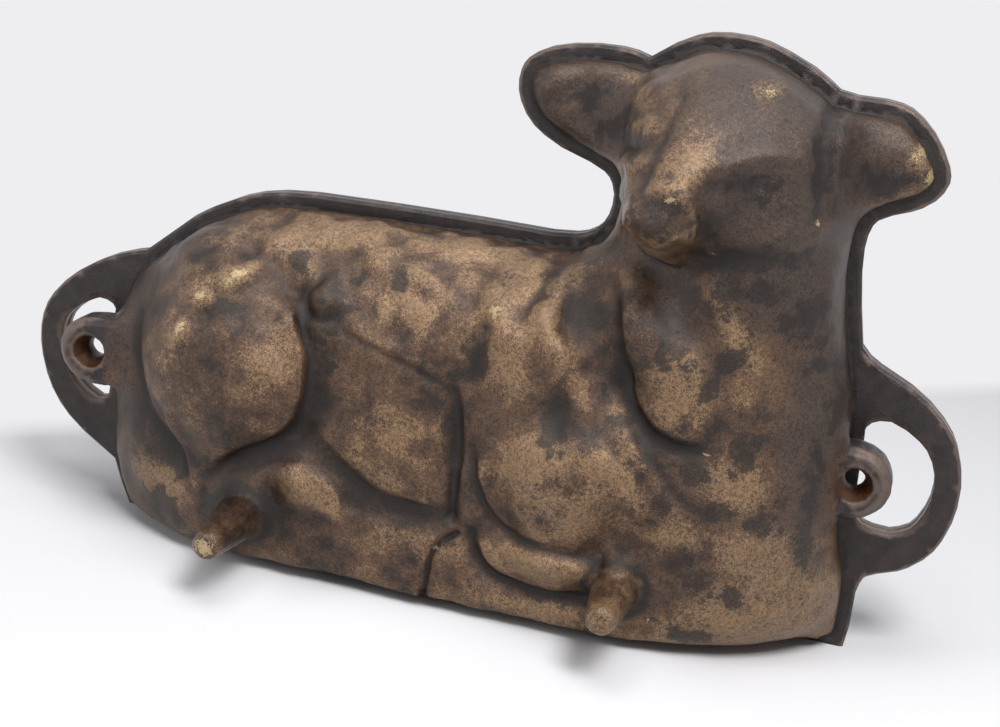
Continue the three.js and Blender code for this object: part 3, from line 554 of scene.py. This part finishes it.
def form_limits(x, z, forms):
    """The longest edge that the forms at each place allow, so that small ones stay crisp"""
    limits = np.full(len(x), np.inf)
    for width, *_, points in [*forms["steps"].values(), *forms["lines"].values()]:
        reach = width * LINE_NEAR_SHARE
        near, distance, _, _ = distance_and_side(x, z, points, reach)
        close = near[distance < reach]
        limits[close] = np.minimum(limits[close], max(width * LINE_EDGE_SHARE, FINEST))
    for centre_x, centre_z, half_x, half_z, _, slope in forms["spots"].values():
        offsets = spot_offsets(x, z, (centre_x, centre_z, half_x, half_z, slope))
        close = offsets < SPOT_NEAR_SHARE
        limits[close] = np.minimum(
            limits[close], max(min(half_x, half_z) * SPOT_EDGE_SHARE, FINEST))
    return limits


# The pegs' and lugs' axes over the mold's face, their radii, and how far out from the
# parting they begin, in millimetres
PEGS = ((-70.38, 22.09), (63.92, 23.93))
PEG_RADIUS = 9.6
PEG_START = 47
LUGS = ((-140.9, 64.0), (134.64, 66.26))
LUG_RADIUS = 15
LUG_START = 8
LUG_FINENESS = 1.8
REFINING_ROUNDS = 7


def refine(casting, fineness, forms, has_fittings):
    """Halves the edges that are too long for their zone, or for a form that is close"""
    for _ in range(REFINING_ROUNDS):
        places, _, edges, _, sides, zones = measured_casting(casting)
        limit = np.full(len(edges), np.inf)
        np.minimum.at(limit, sides, np.array(fineness)[zones][:, None])
        lengths = np.linalg.norm(places[edges[:, 0]] - places[edges[:, 1]], axis=1) / MM
        middle = places[edges].mean(axis=1) / MM
        fine = np.nonzero((limit == fineness[OUTSIDE]) & (lengths > FINEST))[0]
        limit[fine] = np.minimum(
            limit[fine], form_limits(middle[fine, 0], middle[fine, 2], forms))
        for lug_x, lug_z in LUGS if has_fittings else ():
            at_lug = np.hypot(middle[:, 0] - lug_x, middle[:, 2] - lug_z) < LUG_RADIUS
            limit[at_lug] = np.minimum(limit[at_lug], LUG_FINENESS)
        too_long = np.nonzero(lengths > limit)[0]
        if not len(too_long):
            break
        casting.edges.ensure_lookup_table()
        bmesh.ops.subdivide_edges(
            casting, edges=[casting.edges[i] for i in too_long], cuts=1)
        bmesh.ops.triangulate(casting, faces=[f for f in casting.faces if len(f.verts) > 3])


def fitting_points(x, z, depth):
    """Whether each place is on a peg or a lug"""
    on_fitting = np.zeros(len(x), bool)
    for peg_x, peg_z in PEGS:
        on_fitting |= (np.hypot(x - peg_x, z - peg_z) < PEG_RADIUS) & (depth > PEG_START)
    beyond_shell = (x < SHELL_ENDS[0]) | (x > SHELL_ENDS[1])
    for lug_x, lug_z in LUGS:
        near = np.hypot(x - lug_x, z - lug_z) < LUG_RADIUS
        on_fitting |= near & beyond_shell & (depth > LUG_START)
    return on_fitting


def zone_points(corners, zones, count):
    """For each point, the zones of the faces round it"""
    at_zone = np.zeros((count, 3), bool)
    at_zone[corners.ravel(), np.repeat(zones, 3)] = True
    return at_zone


OUTSIDE_ROUNDS, FITTING_ROUNDS, INSIDE_ROUNDS = 22, 1, 8


def smooth(casting, parting, outward, has_fittings):
    """Evens out the shell's outside and hollow, and leaves the edges of the zones"""
    places, _, _, corners, _, zones = measured_casting(casting)
    at_zone = zone_points(corners, zones, len(places))
    depth = (places[:, 1] - parting) * outward / MM
    on_fitting = fitting_points(places[:, 0] / MM, places[:, 2] / MM, depth) & has_fittings
    only = at_zone.sum(axis=1) == 1
    casting.verts.ensure_lookup_table()
    for free, rounds in (
            (only & at_zone[:, OUTSIDE] & ~on_fitting, OUTSIDE_ROUNDS),
            (only & at_zone[:, OUTSIDE] & on_fitting, FITTING_ROUNDS),
            (only & at_zone[:, INSIDE] & (depth > PARTING_BAND), INSIDE_ROUNDS)):
        verts = [casting.verts[i] for i in np.nonzero(free)[0]]
        for _ in range(rounds):
            bmesh.ops.smooth_vert(
                casting, verts=verts, factor=0.5, use_axis_x=True, use_axis_y=True,
                use_axis_z=True)


def evened(values, edges, rounds):
    """Values at points, each drawn towards its neighbours' mean a number of times"""
    a, b = edges.T
    count = len(values)
    shares = np.maximum(np.bincount(edges.ravel(), minlength=count), 1)
    for _ in range(rounds):
        total = [
            np.bincount(a, values[b, i], count) + np.bincount(b, values[a, i], count)
            for i in range(values.shape[1])]
        values = 0.5 * values + 0.5 * np.stack(total, axis=1) / shares[:, None]
    return values


def lumps(places, size, rise):
    """Rounded lumps of about the given size in millimetres, the same on every run"""
    scale = 1 / (size * MM)
    return rise * np.array([noise.noise(Vector(p) * scale) for p in places])


# How the finish's masks follow the shape. A point stands out by how far it lies over its
# close and its wide surroundings, evened out in as many rounds. The seam is the corner
# between shell and rim, painted in shade, and the pegs stand in a ring of painted shade.
# Sizes are in millimetres.
CLOSE_ROUNDS, WIDE_ROUNDS = 5, 60
RIM_BULGE, SHELL_BULGE, SHELL_SWELL = 0.6, 0.25, 1.5
SEAM_WIDTH = 2.4
SEAM_REACH = 14
PEG_RING_RADIUS = 10.5
PEG_RING_WIDTH = 1.8
EYE_RADIUS = 6.2


def relief_field(mesh, places, edges, in_rim):
    """How far each point stands out of its surroundings, from -1 to 1"""
    normals = measured(mesh)[1]
    bulge = ((places - evened(places, edges, CLOSE_ROUNDS)) * normals).sum(axis=1) / MM
    swell = ((places - evened(places, edges, WIDE_ROUNDS)) * normals).sum(axis=1) / MM
    return np.where(
        in_rim, np.clip(bulge / RIM_BULGE, -1, 1),
        np.clip(bulge / SHELL_BULGE, -1, 1) * 0.5 + np.clip(swell / SHELL_SWELL, -1, 1) * 0.5)


def seam_field(places, at_seam, near):
    """1 on the seam and 0 away from it, worked out for the points that are near"""
    seam_points = np.nonzero(at_seam)[0]
    tree = KDTree(len(seam_points))
    for i in seam_points:
        tree.insert(places[i], i)
    tree.balance()
    field = np.zeros(len(places))
    field[near] = [
        math.exp(-(tree.find(p)[2] / (SEAM_WIDTH * MM)) ** 2) for p in places[near]]
    return field


# Size and rise of the fleece's curls and tufts, of the iron's own lumps, and of the grain of
# the pegs and lugs. The relief grows to its full height between two depths, and the hollow
# follows it from a third. All are in millimetres.
FLEECE_CURLS = (16, 2.2)
FLEECE_TUFTS = (7, 1.1)
IRON_LUMPS = (10, 0.4)
FITTING_GRAIN = (3, 0.22)
RELIEF_START = 6
RELIEF_FULL = 12
LINING_START = 3


def sculpt(mesh, parting, outward, forms, patches, wool, has_fittings):
    """Moves the shell's wall, inside and out, to its forms, and stores the finish's masks"""
    places, normals, edges, corners, _, zones = measured(mesh)
    at_zone = zone_points(corners, zones, len(places))
    x, z = places[:, 0] / MM, places[:, 2] / MM
    depth = (places[:, 1] - parting) * outward / MM
    on_fitting = fitting_points(x, z, depth) & has_fittings
    outer = at_zone[:, OUTSIDE] & ~at_zone[:, RIM] & ~at_zone[:, INSIDE] & ~on_fitting
    lining = at_zone[:, INSIDE] & ~at_zone[:, RIM] & (depth > LINING_START)
    height, painted_shade = form_heights(x, z, **forms)
    height += (lumps(places, *FLEECE_CURLS) + lumps(places, *FLEECE_TUFTS)) * wool(x, z)
    height += lumps(places, *IRON_LUMPS)
    share = np.clip((depth - RELIEF_START) / (RELIEF_FULL - RELIEF_START), 0, 1)
    moved = height * share * MM
    places[outer] += normals[outer] * moved[outer, None]
    places[lining] -= normals[lining] * moved[lining, None]
    grain = lumps(places[on_fitting], *FITTING_GRAIN)
    places[on_fitting] += normals[on_fitting] * grain[:, None] * MM
    mesh.vertices.foreach_set("co", places.ravel())
    mesh.update()

    # a ring of painted shade round each peg's root
    for peg_x, peg_z in PEGS if has_fittings else ():
        from_ring = np.hypot(x - peg_x, z - peg_z) - PEG_RING_RADIUS
        painted_shade = np.maximum(painted_shade, np.exp(-(from_ring / PEG_RING_WIDTH) ** 2))
    # painted shade along the seam between shell and rim
    seam = seam_field(
        places, at_zone[:, RIM] & at_zone[:, OUTSIDE],
        (depth < SEAM_REACH) & (at_zone[:, RIM] | outer))
    skin = outer | on_fitting
    in_rim = at_zone[:, RIM] & ~at_zone[:, OUTSIDE]
    masks = {
        "relief": relief_field(mesh, places, edges, in_rim),
        "painted_shade": np.maximum(np.where(outer, painted_shade, 0), seam),
        "rim": 1.0 * in_rim,
        "lining": 1.0 * (at_zone[:, INSIDE] & ~at_zone[:, OUTSIDE] & ~at_zone[:, RIM]),
        "rust": np.zeros(len(x)),
    }
    for lug_x, lug_z in LUGS if has_fittings else ():
        from_eye = np.hypot(x - lug_x, z - lug_z)
        masks["rust"] += from_eye < EYE_RADIUS
        masks["rim"][on_fitting & (from_eye > EYE_RADIUS) & (from_eye < LUG_RADIUS)] = 1
    for patch, spots in patches.items():
        masks[patch] = patch_field(x, z, spots) * skin
    for name, values in masks.items():
        attribute = mesh.attributes.new(name, "FLOAT", "POINT")
        attribute.data.foreach_set("value", np.asarray(values, np.float32))


SHARP_EDGE = math.radians(50)


def cast_piece(name, node, outward, fineness, has_fittings, material, **shape):
    """A casting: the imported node's mesh made finer, evened out and sculpted. Its fineness is
    the longest edge of each zone in millimetres: the rim, the outside and the hollow."""
    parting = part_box(node)[1 if outward < 0 else 0].y
    casting = merged_copy(node)
    mark_zones(casting, parting, outward)
    refine(casting, fineness, shape["forms"], has_fittings)
    smooth(casting, parting, outward, has_fittings)
    mesh = bpy.data.meshes.new(name)
    casting.to_mesh(mesh)
    casting.free()
    sculpt(mesh, parting, outward, has_fittings=has_fittings, **shape)
    mesh.polygons.foreach_set("material_index", np.zeros(len(mesh.polygons), np.int32))
    mesh.polygons.foreach_set("use_smooth", np.ones(len(mesh.polygons), bool))
    mesh.materials.append(material)
    mesh.set_sharp_from_angle(angle=SHARP_EDGE)
    piece = bpy.data.objects.new(name, mesh)
    bpy.context.scene.collection.objects.link(piece)
    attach(piece, node)
    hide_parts(node)
    return piece


# The grain of the skin: size in millimetres, detail and roughness of each kind of noise. The
# mould's sand is about 0.3 mm, too fine to show, so fine and specks are drawn coarser.
GRAINS = {
    "broad": (30, 3, 0.55), "patchy": (8, 6, 0.65), "lobes": (5, 3, 0.5), "fine": (1.3, 5, 0.8),
    "specks": (0.4, 2, 0.55),
}
MASKS = ("relief", "painted_shade", "rim", "lining", "rust", "black", "tan", "grey", "pale_fleck")

# What each part of the finish follows: where it starts, and the weight of each grain and mask
FINISH = {
    "clouds": (-0.6, {"broad": 0.8, "patchy": 1.2, "relief": 0.12, "tan": 0.24}),
    "grey film": (-0.1, {"grey": 0.8, "patchy": 0.6}),
    # worn iron, and painted highlights on the tan patches and high spots
    "worn to tan and painted highlights": (-2.05, {
        "tan": 0.9, "grey": -0.45, "relief": 0.5, "patchy": 1.8, "fine": 1.1, "specks": 0.8}),
    # thick skin, and painted shade where black patches lie in creases and on dark sides
    "thick black and painted shade": (-2.05, {"black": 0.85, "lobes": 0.4, "patchy": 2.5, "fine": 1.2}),
    "mottle": (-0.5, {"fine": 1.1, "specks": 0.9}),
    # painted shade: darker in folds, at the seam and round the pegs
    "painted shade in folds": (-0.5, {"painted_shade": 1, "patchy": 0.7, "relief": -0.4}),
    # chips, and painted glints
    "pale flecks": (-0.9, {"pale_fleck": 1, "fine": 1.3, "specks": 0.6}),
    "rusty": (0, {"rust": 1, "patchy": 0.4}),
    "rim's clouds": (-0.2, {"patchy": 0.8, "specks": 0.5}),
    # rubbed rim edges, lighter also as a painted highlight
    "rubbed and highlit edges": (-0.3, {"relief": 1, "fine": 0.6}),
    # painted shade where the rim meets the shell
    "painted shade at the seam": (0, {"painted_shade": 1}),
    "roughness": (0.1, {"fine": 0.28, "patchy": 0.18, "painted_shade": 0.15}),
}

# Coats over the brown skin, over its mottle and over the rim's skin: the value at which each
# begins, the value at which it is full, how much of it then shows, and its colour
SKIN_COATS = {
    "grey film": (0.25, 0.8, 0.75, "#3d332e"),
    # worn iron, and painted highlights
    "worn to tan and painted highlights": (0.25, 0.8, 0.55, "#8a7054"),
    # thick skin, and painted shade in creases and on dark sides
    "thick black and painted shade": (0.5, 0.62, 0.85, "#201a18"),
}
MOTTLED_COATS = {
    # painted shade in folds, at the seam and round the pegs
    "painted shade in folds": (0.15, 1.1, 0.85, "#191412"),
    # chips, and painted glints
    "pale flecks": (0.66, 0.85, 0.85, "#b8a27a"),
    "rusty": (0.9, 1.2, 0.6, "#5a3519"),
}
RIM_COATS = {
    # rubbed rim edges, lighter also as a painted highlight
    "rubbed and highlit edges": (0.4, 1, 0.5, "#7f6c60"),
    # painted shade where the rim meets the shell
    "painted shade at the seam": (0.3, 1, 0.9, "#100d0c"),
}


def seasoned_iron(name, dark, middle, light):
    """Cast iron under a baked-on skin of oil: satin, bronze-brown, black where the skin is
    thick and tan where it is worn thin, over the fine grain of the sand mould, with painted
    shade in folds, in black patches and at the seam, and painted highlights in tan patches,
    pale flecks and along the rim's edges"""
    iron = bare_material(name)
    at = add_node(iron, "TexCoord").outputs["Object"]
    fields = {}
    for mask in MASKS:
        fields[mask] = add_node(iron, "Attribute", {"attribute_name": mask}).outputs["Fac"]
    for grain, (size, detail, roughness) in GRAINS.items():
        fields[grain] = add_node(
            iron, "TexNoise", Vector=at, Scale=1 / (size * MM), Detail=detail,
            Roughness=roughness).outputs[0]
    for part, (amount, weights) in FINISH.items():
        for field, weight in weights.items():
            amount = add_node(
                iron, "Math", {"operation": "MULTIPLY_ADD"}, _0=fields[field], _1=weight,
                _2=amount).outputs[0]
        fields[part] = amount

    def coated(under, coats):
        """A skin with coats over it, each where its part of the finish says"""
        for part, (begin, full, most, color) in coats.items():
            shown = add_node(
                iron, "MapRange", {"interpolation_type": "SMOOTHSTEP"}, Value=fields[part],
                From_Min=begin, From_Max=full, To_Max=most).outputs["Result"]
            under = add_node(
                iron, "Mix", {"data_type": "RGBA"}, _0=shown, _6=under,
                _7=linear(color)).outputs[2]
        return under

    # The brown skin, darker and lighter in broad clouds, a little yellower where it is worn,
    # under a grey film, worn spots that also carry painted highlights, and ragged black patches
    # that also carry painted shade
    clouds = add_node(iron, "ValToRGB", Fac=fields["clouds"], stops=[
        (0.22, linear(dark)), (0.42, linear(middle)), (0.7, linear(light))])
    skin = coated(clouds.outputs["Color"], SKIN_COATS)

    # A fine mottle, dark between the grains and light on them, then painted shade in the folds,
    # at the seam and round the pegs, pale flecks that are chips and painted glints, and rust
    mottle = add_node(iron, "ValToRGB", Fac=fields["mottle"], stops=[
        (0.32, (0.36, 0.34, 0.33, 1)), (0.47, (0.9, 0.9, 0.9, 1)), (0.68, (1.7, 1.65, 1.55, 1))])
    skin = add_node(
        iron, "Mix", {"data_type": "RGBA", "blend_type": "MULTIPLY"}, _0=0.9, _6=skin,
        _7=mottle.outputs["Color"]).outputs[2]
    skin = coated(skin, MOTTLED_COATS)

    # The rim keeps a darker skin, rubbed along its edges and lighter there as a painted
    # highlight, with painted shade where it meets the shell, and the hollow a plain dark one
    rim_clouds = add_node(iron, "ValToRGB", Fac=fields["rim's clouds"], stops=[
        (0.3, linear("#1f1a19")), (0.6, linear("#3b3130"))])
    rim_skin = coated(rim_clouds.outputs["Color"], RIM_COATS)
    lining = add_node(iron, "ValToRGB", Fac=fields["patchy"], stops=[
        (0.3, linear("#26211f")), (0.7, linear("#4a3c31"))])
    for zone, zone_skin in (("rim", rim_skin), ("lining", lining.outputs["Color"])):
        skin = add_node(
            iron, "Mix", {"data_type": "RGBA"}, _0=fields[zone], _6=skin,
            _7=zone_skin).outputs[2]

    sand = add_node(iron, "Bump", Strength=0.5, Distance=0.6 * MM, Height=fields["fine"])
    sand = add_node(
        iron, "Bump", Strength=0.5, Distance=0.3 * MM, Height=fields["specks"],
        Normal=sand.outputs[0])
    shader = add_node(
        iron, "BsdfPrincipled", Base_Color=skin, Metallic=0.35, Roughness=fields["roughness"],
        Normal=sand.outputs[0])
    add_node(iron, "OutputMaterial", Surface=shader.outputs[0])
    return iron


# The wool starts at this height on the back, ends before the neck, and fades over these
# lengths to the least that there is of it
FACE_WOOL_FOOT = 80
FACE_WOOL_END = 70
FOOT_FADE = 14
NECK_FADE = 20
LEAST_WOOL = 0.3


def face_wool(x, z):
    """How woolly the face half is at each place: on the back and shoulder, not the face"""
    over_foot = np.clip((z - FACE_WOOL_FOOT) / FOOT_FADE, LEAST_WOOL, 1)
    return over_foot * np.clip((FACE_WOOL_END - x) / NECK_FADE, LEAST_WOOL, 1)


front_casting = cast_piece(
    "front_casting", "front_half", outward=-1, fineness=(4, 3.6, 7), has_fittings=True,
    material=seasoned_iron("seasoned_iron_worn", "#2a211b", "#4a372a", "#674f3a"),
    forms={"steps": FACE_STEPS, "lines": FACE_LINES, "spots": FACE_SPOTS},
    patches=FACE_PATCHES, wool=face_wool)

# The back half: a second iron casting, moulded and seasoned in the same way, with the lamb's
# other side, plainer, and with no pegs and no lugs. It lies loose on the face half's rim.

BACK_STEPS = {
    "thigh over the flank": (2, 2, 9, [
        (-80, 43), (-68, 49), (-58, 56), (-52, 68), (-51, 80), (-54, 92), (-60, 104)]),
    "arm over the flank": (1.8, 1.6, 8, [
        (3, 86), (5, 68), (9, 52), (16, 42), (28, 36), (54, 34)]),
    "neck over the shoulder": (1.8, 1.6, 8, [(54, 118), (60, 98), (66, 87), (80, 80)]),
    "head over the left ear": (1.6, 1.4, 6, [(54, 190), (47, 180), (45, 162)]),
}
BACK_LINES = {
    "back of the thigh": (5, -1.4, [(-120, 76), (-118, 62), (-111, 49), (-101, 40)]),
    "belly": (3.6, -1.6, [(-46, 54), (-32, 45), (-16, 39), (4, 36)]),
    "neck ridge": (5, 1.4, [(66, 118), (76, 104), (84, 90)]),
    "front of the arm": (4, -1.5, [(62, 80), (74, 66), (88, 56)]),
    "under the foreleg": (3.4, -1.5, [(18, 30), (28, 20), (56, 19)]),
    "nape": (4, -1.2, [(52, 186), (58, 172), (60, 156), (64, 140)]),
    "right ear's root": (3, -1.4, [(107, 186), (107, 172), (110, 157)]),
    "curl on the crown": (3.4, 1.2, [(70, 190), (82, 193), (92, 188)]),
}
BACK_SPOTS = {
    "hind foot": (-50, 36, 14, 9, 1.4, -10),
    "knot on the shoulder": (40, 84, 9, 9, 1.2, 0),
    "left ear": (27, 177, 13, 7, -0.9, 5),
    "right ear": (126, 169, 10, 9, -0.9, -20),
}
# As on the face half, black patches also carry painted shade, tan ones painted highlights and pale
# flecks painted glints
BACK_PATCHES = {
    "black": ((-58, 44, 16, 7, 0), (10, 40, 10, 12, 0), (60, 90, 8, 16, -20)),
    "tan": ((-75, 85, 18, 16, 0), (0, 100, 24, 14, 0), (80, 175, 14, 12, 0)),
    "grey": ((-110, 70, 14, 20, 0), (100, 100, 14, 20, 0)),
    "pale_fleck": ((-70, 96, 4, 2, 0), (20, 112, 3, 2, 0)),
}


BACK_WOOL_FOOT = 75


def back_wool(x, z):
    """The other side is woolly on the back, the shoulder and the nape, all along it"""
    return np.clip((z - BACK_WOOL_FOOT) / FOOT_FADE, LEAST_WOOL, 1)


back_casting = cast_piece(
    "back_casting", "back_half", outward=1, fineness=(4.5, 3.8, 7), has_fittings=False,
    material=seasoned_iron("seasoned_iron_dark", "#2a231f", "#3f3229", "#564536"),
    forms={"steps": BACK_STEPS, "lines": BACK_LINES, "spots": BACK_SPOTS},
    patches=BACK_PATCHES, wool=back_wool)
